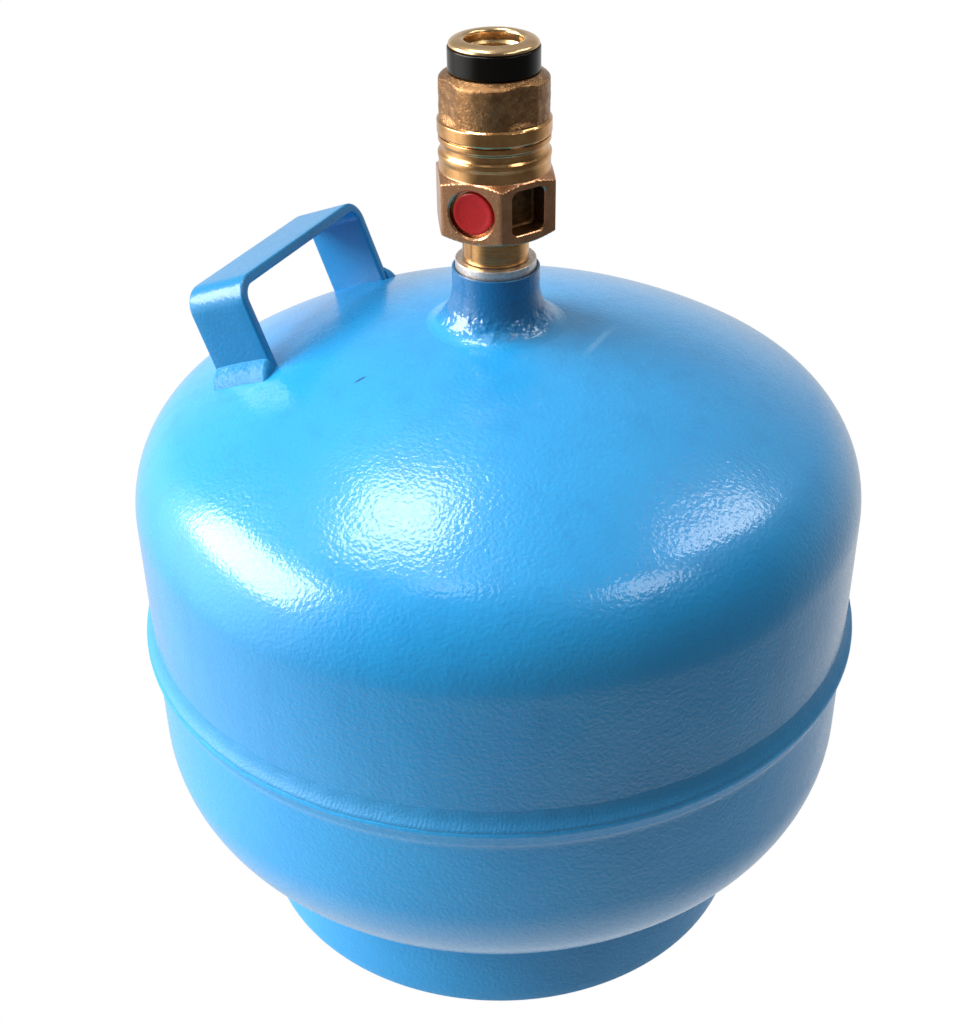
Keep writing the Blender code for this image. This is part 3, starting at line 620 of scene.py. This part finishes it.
def strap_path():
    """The handle's outer line, (y, height) in its own frame, from one foot over to the other."""
    right = divided([(HANDLE_HALF, -4.6), (HANDLE_HALF, HANDLE_HEIGHT - BEND)], 3.0, closed=False)
    right += arc((HANDLE_HALF - BEND, HANDLE_HEIGHT - BEND), BEND, 0.0, 90.0, 14)[1:]
    left = [(-y, z) for y, z in right]
    return divided(left + right[::-1], 3.0, closed=False)


def sweep_strap():
    """A flat bar with rounded edges along the handle's path, whose outer face is the path."""
    path = np.array(strap_path())
    tangent = np.gradient(path, axis=0)
    tangent /= np.linalg.norm(tangent, axis=1)[:, None]
    outward = np.stack((-tangent[:, 1], tangent[:, 0]), axis=1)
    half = STRAP_WIDTH / 2
    section = soften([(-half, 0.0), (half, 0.0), (half, -STRAP), (-half, -STRAP)], 0.75, 4)
    section = divided(section, 4.0)
    vertices = []
    for (y, z), (oy, oz) in zip(path, outward):
        for across, depth in section:
            vertices.append(HANDLE_FRAME @ Vector((across, y + oy * depth, z + oz * depth)) * MM)
    return new_piece("strap_handle", vertices, tube_faces(len(path), len(section)), 40.0)


strap = sweep_strap()
assign(strap, [blue_strap_shaded])
place(strap, "cylinder", "blue_paint", "handle")

FILLET_UP = 4.3
FILLET_OUT = 5.2
FILLET_HALF = 10.4


def crown_local(x, y):
    """Height of the crown's surface in the handle's frame, which stands on the crown."""
    crown = UPPER["crown"]
    return math.sqrt(crown**2 - x**2 - (y + HANDLE_CENTRE_Y) ** 2) - crown


def weld_fillet(name, side, seed):
    """A fillet weld from the strap's foot out onto the crown, as wide as the strap, with fine ripples."""
    along, down = 132, 26
    vertices = []
    for i in range(along + 1):
        x = FILLET_HALF * (2 * i / along - 1)
        ends = max(0.0, (abs(x) - (FILLET_HALF - 1.6)) / 1.6)
        girth = math.sqrt(max(0.0, 1.0 - ends**2))
        out_y = HANDLE_HALF + FILLET_OUT * (0.55 + 0.45 * girth)
        top = crown_local(x, HANDLE_HALF) + FILLET_UP * (0.35 + 0.65 * girth)
        for j in range(down + 1):
            t = j / down
            y = HANDLE_HALF - 0.15 + (out_y - HANDLE_HALF + 0.15) * t
            straight = top + (crown_local(x, out_y) - 0.05 - top) * t
            swell = 0.55 * math.sin(math.pi * t) * girth
            point = Vector((x, y, straight))
            fine = noise.noise(Vector((x / 1.1 + seed, y / 1.9, straight / 1.9)))
            broad = noise.noise(Vector((x / 3.6, y / 3.0 + seed, straight / 3.0)))
            swell += (0.17 * fine + 0.30 * broad) * math.sin(math.pi * min(1.0, t * 1.15 + 0.04))
            slope = math.atan2(top - straight + 0.001, y - HANDLE_HALF + 0.4)
            point += Vector((0.0, math.sin(slope), math.cos(slope))) * swell
            point.y = side * point.y
            vertices.append(HANDLE_FRAME @ point * MM)
        for y, drop in ((out_y, 1.2), (HANDLE_HALF - 0.6, 1.2), (HANDLE_HALF - 0.6, None)):
            z = top - 0.2 if drop is None else crown_local(x, y) - drop
            vertices.append(HANDLE_FRAME @ Vector((x, side * y, z)) * MM)
    return new_piece(name, vertices, tube_faces(along + 1, down + 4), 60.0)


for name, node, side, seed in (("strap_weld_front", "handle_weld_front", -1, 3.7),
                               ("strap_weld_rear", "handle_weld_rear", 1, 8.2)):
    fillet_weld = weld_fillet(name, side, seed)
    assign(fillet_weld, [strap_weld_blue_shaded])
    place(fillet_weld, "cylinder", "blue_paint", node)

# ---------------------------------------------------------------- valve

HEX_FLATS = 31.0
HEX_CORNER = HEX_FLATS / 2 / math.cos(math.radians(30.0))
HEX_LOW, HEX_TOP = 222.4, 239.4
COLLAR = 15.2       # radius of the body's highest ring
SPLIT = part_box("valve_body")[1].z / MM
NECK = 9.28
RELIEF_Z = 230.8
POCKET_Z = 231.2
POCKET_HALF = (5.25, 5.95)     # half its width and half its height
POCKETS = (-30.0, 150.0)       # azimuths of the faces that have one
VALVE_STEPS = 300
VALVE_SHARP = 28.0             # edges that turn more than this, in degrees, are drawn sharp


def hexed(angle, radius, height):
    """Cuts the body's middle to a hexagon with chamfered corners."""
    flats = polygon(angle, 6, HEX_FLATS, -90.0)
    cut = smooth_min(radius, flats, 0.10)
    inside = (height > HEX_LOW - 0.1) & (height < HEX_TOP + 0.05) & (radius > NECK + 3.0)
    return np.where(inside, cut, radius), height


body_skin = soften([(10.0, SPLIT), (COLLAR, SPLIT), (COLLAR, 247.35), (14.62, 246.9), (14.58, 245.5),
                    (14.78, 244.9), (15.35, 244.2), (15.35, 243.3), (15.15, 242.2), (15.15, HEX_TOP),
                    (HEX_CORNER, HEX_TOP - 1.5), (HEX_CORNER, HEX_LOW + 1.4), (15.3, HEX_LOW),
                    (NECK, HEX_LOW), (NECK, 213.5)],
                   [0.0, 0.25, 0.45, 0.5, 0.4, 0.45, 0.3, 0.3, 0.3, 0.15, 0.4, 0.3, 0.3, 0.7, 0.0], 4,
                   closed=False)
body_skin = divided(body_skin, 0.6, closed=False)
body_bore = divided([(8.0, 213.5), (8.0, 187.0), (7.0, 186.0), (3.5, 186.0), (3.5, 240.0), (6.5, 240.0),
                     (6.5, 242.5), (10.0, 242.5)], 12.0, closed=False)
body = lathe("valve_lower", body_skin + body_bore, VALVE_STEPS, hexed, VALVE_SHARP)


def along_minus_y(piece):
    """Lays a turned piece on the relief valve's axis, with its top facing -Y."""
    turn = Matrix.Rotation(math.radians(90.0), 4, "X")
    piece.data.transform(Matrix.Translation((0.0, 0.0, RELIEF_Z * MM)) @ turn)


def relief_cutter():
    """The round recess for the relief valve, with a chamfered mouth, along -Y."""
    face = HEX_FLATS / 2
    bore = [(0.0, 2.0), (1.6, 2.0), (1.6, 5.5), (4.8, 5.5), (4.8, 13.2), (6.6, 13.2), (6.6, face - 0.45),
            (7.6, face + 0.55), (7.6, face + 2.4), (0.0, face + 2.4)]
    cutter = lathe("relief_cutter", bore, 72)
    along_minus_y(cutter)
    return cutter


def pocket_cutter(azimuth):
    """A rounded square pocket with a soft rim, in the hexagon's face at this azimuth."""
    face = HEX_FLATS / 2
    half_w, half_h = POCKET_HALF
    rings = [(-5.0, -0.9, 1.0), (-4.6, -0.35, 1.5), (-4.0, -0.1, 1.7), (-0.62, 0.0, 1.8), (-0.27, 0.13, 1.95),
             (0.33, 0.73, 2.4), (2.9, 2.2, 3.0)]
    vertices = []
    per_corner = 7
    for depth, grow, corner in rings:
        w, h = half_w + grow, half_h + grow
        for cx, cy, start in ((1, 1, 0), (-1, 1, 90), (-1, -1, 180), (1, -1, 270)):
            for step in range(per_corner):
                a = math.radians(start + 90.0 * step / (per_corner - 1))
                y = cx * (w - corner) + corner * math.cos(a)
                z = cy * (h - corner) + corner * math.sin(a)
                vertices.append(Vector((face + depth, y, POCKET_Z + z)) * MM)
    cutter = new_piece("pocket_cutter", vertices, tube_faces(len(rings), 4 * per_corner))
    cutter.data.transform(Matrix.Rotation(math.radians(azimuth), 4, "Z"))
    return cutter


carve(body, relief_cutter())
for azimuth in POCKETS:
    carve(body, pocket_cutter(azimuth))
body.data.set_sharp_from_angle(angle=math.radians(VALVE_SHARP))


def body_zone(centre):
    """0 turned, 1 hexagon, 2 bore, 3 inside a pocket; the bore and the pocket zones take brass painted darker
    as shade.
    """
    if from_axis(centre) < 8.5:
        return 2
    half_width, half_height = POCKET_HALF[0] + 0.15, POCKET_HALF[1] + 0.15
    for azimuth in POCKETS:
        turned = math.radians(azimuth)
        outward = centre.x * math.cos(turned) + centre.y * math.sin(turned)
        sideways = -centre.x * math.sin(turned) + centre.y * math.cos(turned)
        deep = 9.5 < outward < HEX_FLATS / 2 - 0.7
        if deep and abs(sideways) < half_width and abs(centre.z - POCKET_Z) < half_height:
            return 3
    return 1 if HEX_LOW - 0.05 < centre.z < HEX_TOP + 0.05 else 0


assign(body, [turned_brass, satin_brass, dull_shaded_bore_brass, shaded_pocket_brass], body_zone)
place(body, "cylinder", "forged_brass", "valve_body")

UPPER_RING = 15.45       # radius of the head's ring, and the height of its top
RING_TOP = 253.0
SQUARE = 28.0            # across the forged square's flats, its rounded corner's radius and its turn
SQUARE_CORNER = 14.85
SQUARE_NORMAL = -36.0
LEDGE = 255.2
SHOULDER = 265.5
SPIGOT = 10.2
SPIGOT_TOP = 271.2


def squared(angle, radius, height):
    """Cuts the head to a rough forged square that runs out in a rounded ledge."""
    flats = polygon(angle, 4, SQUARE, SQUARE_NORMAL)
    ledge = SQUARE / 2 - (height - LEDGE) * 0.7
    cut = smooth_min(radius, smooth_max(flats, ledge, 0.10), 0.06)
    points = on_axis_grid(angle, radius, height)
    inside = (height > RING_TOP + 0.1) & (height < SHOULDER + 0.05) & (radius > 12.0)
    rough = 0.10 * lumps(points, 2.2, 5.0) + 0.07 * lumps(points, 0.9, 1.0) - 0.06
    return np.where(inside, cut + rough, radius), height


head_skin = soften([(8.2, SPIGOT_TOP), (SPIGOT, SPIGOT_TOP), (SPIGOT, SHOULDER), (12.4, SHOULDER),
                    (SQUARE_CORNER, 264.0), (SQUARE_CORNER, RING_TOP + 0.5), (UPPER_RING, RING_TOP),
                    (UPPER_RING, 249.7), (15.0, 249.02), (9.7, 249.02)],
                   [0.0, 0.0, 0.0, 0.3, 0.6, 0.1, 0.2, 0.2, 0.15, 0.0], 4, closed=False)
head_skin = divided(head_skin, 0.5, closed=False)
head_bore = divided([(9.7, 247.2), (8.3, 247.2), (8.3, 245.6), (9.7, 245.6), (9.7, 242.8), (6.5, 242.8),
                     (6.5, 258.0), (3.2, 258.0), (3.2, 265.0), (7.6, 265.0), (7.6, 270.2)], 5.0, closed=False)
head = lathe("valve_upper", head_skin + head_bore, VALVE_STEPS, squared, VALVE_SHARP)


def head_zone(centre):
    """0 turned, 1 forged square, 2 bore, painted darker as shade, 3 mouth."""
    outside = from_axis(centre)
    if outside < 8.0 and centre.z > 264.5:
        return 3
    if outside < 12.3:
        return 2
    return 1 if centre.z > RING_TOP + 0.3 else 0


assign(head, [turned_brass, forged, dull_shaded_bore_brass, bore_brass], head_zone)
place(head, "cylinder", "forged_brass", "outlet_head")

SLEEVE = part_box("outlet_sleeve")
sleeve_low, sleeve_top, sleeve_r = SLEEVE[0].z / MM, SLEEVE[1].z / MM, SLEEVE[1].x / MM
sleeve_outline = soften([(sleeve_r, sleeve_top), (sleeve_r, sleeve_low), (10.5, sleeve_low),
                         (10.5, sleeve_top)], [0.4, 0.35, 0.0, 0.0], 5)
sleeve = lathe("black_sleeve", divided(sleeve_outline, 0.8), 160)
assign(sleeve, [black])
place(sleeve, "cylinder", "black_plastic", "outlet_sleeve")

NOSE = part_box("outlet_nose")
nose_top, nose_r = NOSE[1].z / MM, NOSE[1].x / MM
CREST, LIP_CURVE = 8.7, 1.0   # radius of the rounded mouth's highest line, and its inner curve
NOSE_SEAT = 271.35
base = sleeve_top + 0.15
nose_outline = [(SPIGOT, NOSE_SEAT), (SPIGOT, base), (nose_r - 0.15, base)]
for across, up in arc((0.0, 0.0), 1.0, 0.0, 90.0, 16):
    nose_outline.append((CREST + (nose_r - CREST) * across, base + 0.25 + (nose_top - base - 0.25) * up))
nose_outline += arc((CREST, nose_top - LIP_CURVE), LIP_CURVE, 90.0, 180.0, 8)[1:]
nose_outline += [(CREST - LIP_CURVE, NOSE_SEAT)]
nose = lathe("nose_ring", nose_outline, 192)
assign(nose, [polished])
place(nose, "cylinder", "brass", "outlet_nose")

seal_outline = soften([(7.45, 267.0), (7.45, 265.15), (3.5, 265.15), (3.5, 267.0)], [0.3, 0.0, 0.0, 0.35], 4)
seal = lathe("mouth_seal", seal_outline, 96)
assign(seal, [rubber])
place(seal, "cylinder", "rubber", "outlet_seal")

poppet_outline = soften([(0.0, 268.0), (1.6, 268.0), (1.6, 255.9), (5.2, 255.9), (5.2, 252.6), (2.2, 252.6),
                         (2.2, 249.6), (0.0, 249.6)], [0.0, 0.35, 0.3, 0.2, 0.2, 0.2, 0.2, 0.0], 4)
poppet = lathe("poppet_pin", poppet_outline, 64)
assign(poppet, [polished])
place(poppet, "poppet", "brass", "check_poppet")

CAP_EDGE = 0.35   # rounding of the dust cap's rim
cap_face = -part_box("relief_cap")[0].y / MM
cap_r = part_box("relief_cap")[1].x / MM - 0.1
cap_outline = [(0.0, 13.5), (cap_r, 13.5), (cap_r, cap_face - CAP_EDGE)]
cap_outline += arc((cap_r - CAP_EDGE, cap_face - CAP_EDGE), CAP_EDGE, 0.0, 90.0, 6)[1:]
cap_outline += [(cap_r - 0.9, cap_face), (cap_r - 1.2, cap_face - 0.06), (4.0, cap_face - 0.12),
                (2.0, cap_face - 0.16), (0.0, cap_face - 0.18)]
cap = lathe("red_cap", cap_outline, 128)
along_minus_y(cap)
assign(cap, [red])
place(cap, "relief_dust_cap", "red_plastic", "relief_cap")

plug_outline = soften([(1.8, 11.9), (4.5, 11.9), (4.5, 13.1), (1.8, 13.1)], 0.2, 3)
plug = lathe("vent_plug", plug_outline, 72)
along_minus_y(plug)
assign(plug, [turned_brass])
place(plug, "cylinder", "brass", "relief_plug")


def coil_spring(name, low, high, wire, turns, sides=10, steps=32):
    """A round wire wound on the cylinder's axis, between two corners of a box in mm."""
    radius, count = high.x - wire, turns * steps
    vertices = []
    for i in range(count + 1):
        angle = math.tau * i / steps
        rise = low.z + wire + (high.z - low.z - 2 * wire) * i / count
        for j in range(sides):
            around = math.tau * j / sides
            reach = radius + wire * math.cos(around)
            point = Vector((reach * math.cos(angle), reach * math.sin(angle), rise + wire * math.sin(around)))
            vertices.append(point * MM)
    return new_piece(name, vertices, tube_faces(count + 1, sides))


SPRING_WIRE = 0.4
spring_low, spring_high = (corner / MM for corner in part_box("poppet_spring"))
spring = coil_spring("valve_spring", spring_low, spring_high, SPRING_WIRE, 5)
assign(spring, [steel])
place(spring, "cylinder", "spring_steel", "poppet_spring")
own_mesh(spring)

# Inner CAD nodes that no piece replaces
HIDDEN = {"head_o_ring": rubber, "poppet_seal": rubber, "relief_seal": rubber, "relief_spring": steel,
          "spring_retainer": turned_brass, "relief_piston": turned_brass}
for name, material in HIDDEN.items():
    nodes[name].data.materials.clear()
    nodes[name].data.materials.append(material)

# ---------------------------------------------------------------- stage and light

CENTRE = Vector((0.0, 0.0, 0.14))
LIGHT_DISTANCE = 1.25


def sheet_mesh(name, size, height):
    half = size / 2
    mesh = bpy.data.meshes.new(name)
    corners = [(x * half, y * half, height) for x, y in ((-1, -1), (1, -1), (1, 1), (-1, 1))]
    mesh.from_pydata(corners, [], [(0, 1, 2, 3)])
    obj = bpy.data.objects.new(name, mesh)
    scene.collection.objects.link(obj)
    return obj


def glow(name, colour, strength):
    material = bpy.data.materials.new(name)
    material.use_nodes = True
    tree = material.node_tree
    tree.nodes.remove(tree.nodes["Principled BSDF"])
    emission = add(tree, "Emission", Color=(*colour, 1.0), Strength=strength)
    tree.links.new(emission.outputs[0], tree.nodes["Material Output"].inputs["Surface"])
    return material


floor = sheet_mesh("floor", 12.0, -0.0005)
floor.data.materials.append(glow("white_floor", (1.0, 1.0, 1.0), 1.0))
floor.visible_diffuse = False
floor.visible_glossy = False
floor.visible_transmission = False
floor.visible_shadow = False

world = bpy.data.worlds.new("studio")
scene.world = world
world.use_nodes = True
tree = world.node_tree
background = tree.nodes["Background"]
direction = add(tree, "TexCoord").outputs["Generated"]


def towards_node(azimuth, elevation):
    """Cosine between the view into the surroundings and this direction."""
    az, el = math.radians(azimuth), math.radians(elevation)
    aim = (math.cos(az) * math.cos(el), math.sin(az) * math.cos(el), math.sin(el))
    return vector_math(tree, "DOT_PRODUCT", "Value", direction, aim)


BRIGHT_WALL = (140.0, 0.0)     # azimuth and elevation of each part of the room that is brightest
BRIGHT_TABLE = (-80.0, 0.0)
FILL_CARD = (-150.0, 8.0)
up = towards_node(0.0, 90.0)   # sine of the elevation
walls = remap(tree, towards_node(*BRIGHT_WALL), -0.45, 0.35, 0.12, 0.72)
walls = combine(tree, "MULTIPLY", walls, remap(tree, up, 0.02, 0.45, 1.0, 0.45))
walls = combine(tree, "MULTIPLY", walls, remap(tree, up, -0.56, -0.85, 1.0, 0.30))
table = remap(tree, up, -0.58, -0.86, 0.0, 1.15)
table = combine(tree, "MULTIPLY", table, remap(tree, towards_node(*BRIGHT_TABLE), -0.35, 0.25, 0.60, 1.0))
fill = remap(tree, towards_node(*FILL_CARD), 0.75, 0.97, 0.0, 1.2)
ceiling = remap(tree, up, 0.30, 0.90, 0.0, 0.15)
surround = walls
for layer in (table, fill, ceiling):
    surround = combine(tree, "ADD", surround, layer)
camera_ray = add(tree, "LightPath").outputs["Is Camera Ray"]
seen = add(tree, "Mix", {"data_type": "FLOAT"}, i0=camera_ray, i2=surround, i3=1.0).outputs[0]
tree.links.new(seen, background.inputs["Strength"])
background.inputs["Color"].default_value = (1.0, 1.0, 1.0, 1.0)


def softbox(name, towards, width, height, radiance, roll=0.0):
    """Shines at the cylinder from this direction, with this brightness per area."""
    light = bpy.data.lights.new(name, "AREA")
    light.shape = "RECTANGLE"
    light.size = width
    light.size_y = height
    light.energy = radiance * math.pi * width * height
    obj = bpy.data.objects.new(name, light)
    scene.collection.objects.link(obj)
    towards = Vector(towards).normalized()
    aim = (-towards).to_track_quat("-Z", "Y").to_matrix().to_4x4()
    turned = aim @ Matrix.Rotation(math.radians(roll), 4, "Z")
    obj.matrix_world = Matrix.Translation(CENTRE + towards * LIGHT_DISTANCE) @ turned
    obj.visible_camera = False


# name, direction, width and height in metres, radiance and roll in degrees
softbox("overhead", (-0.303, -0.054, 0.951), 0.36, 0.40, 13.5)
softbox("window", (-0.76, -0.45, 0.462), 1.00, 0.62, 12.0)
softbox("overhead_dim", (-0.02, -0.38, 0.92), 0.26, 0.26, 3.0)
softbox("right_far", (0.529, 0.409, 0.746), 0.56, 0.17, 7.5, -53.0)
softbox("right_near", (0.652, -0.12, 0.748), 0.40, 0.28, 4.8)

# ---------------------------------------------------------------- camera

AZIMUTH = 24.5                        # degrees round the cylinder from its front, -Y
TILT, PAN, ROLL = 32.5486, 0.4175, -0.7307
FROM_AXIS, ABOVE_FLOOR = 3.7299, 3.5710    # in shell radii
camera = bpy.data.objects.new("camera", bpy.data.cameras.new("camera"))
scene.collection.objects.link(camera)
camera.data.lens = 54.48              # mm, on a full-frame sensor
camera.data.sensor_width = 36.0
eye = Matrix.Translation(Vector((0.0, -FROM_AXIS, ABOVE_FLOOR)) * SHELL_RADIUS * MM)
placed = Matrix.Rotation(math.radians(AZIMUTH), 4, "Z") @ eye
for degrees, axis in ((PAN, "Z"), (90.0 - TILT, "X"), (ROLL, "Z")):
    placed = placed @ Matrix.Rotation(math.radians(degrees), 4, axis)
camera.matrix_world = placed
scene.camera = camera
scene.view_settings.view_transform = "Standard"
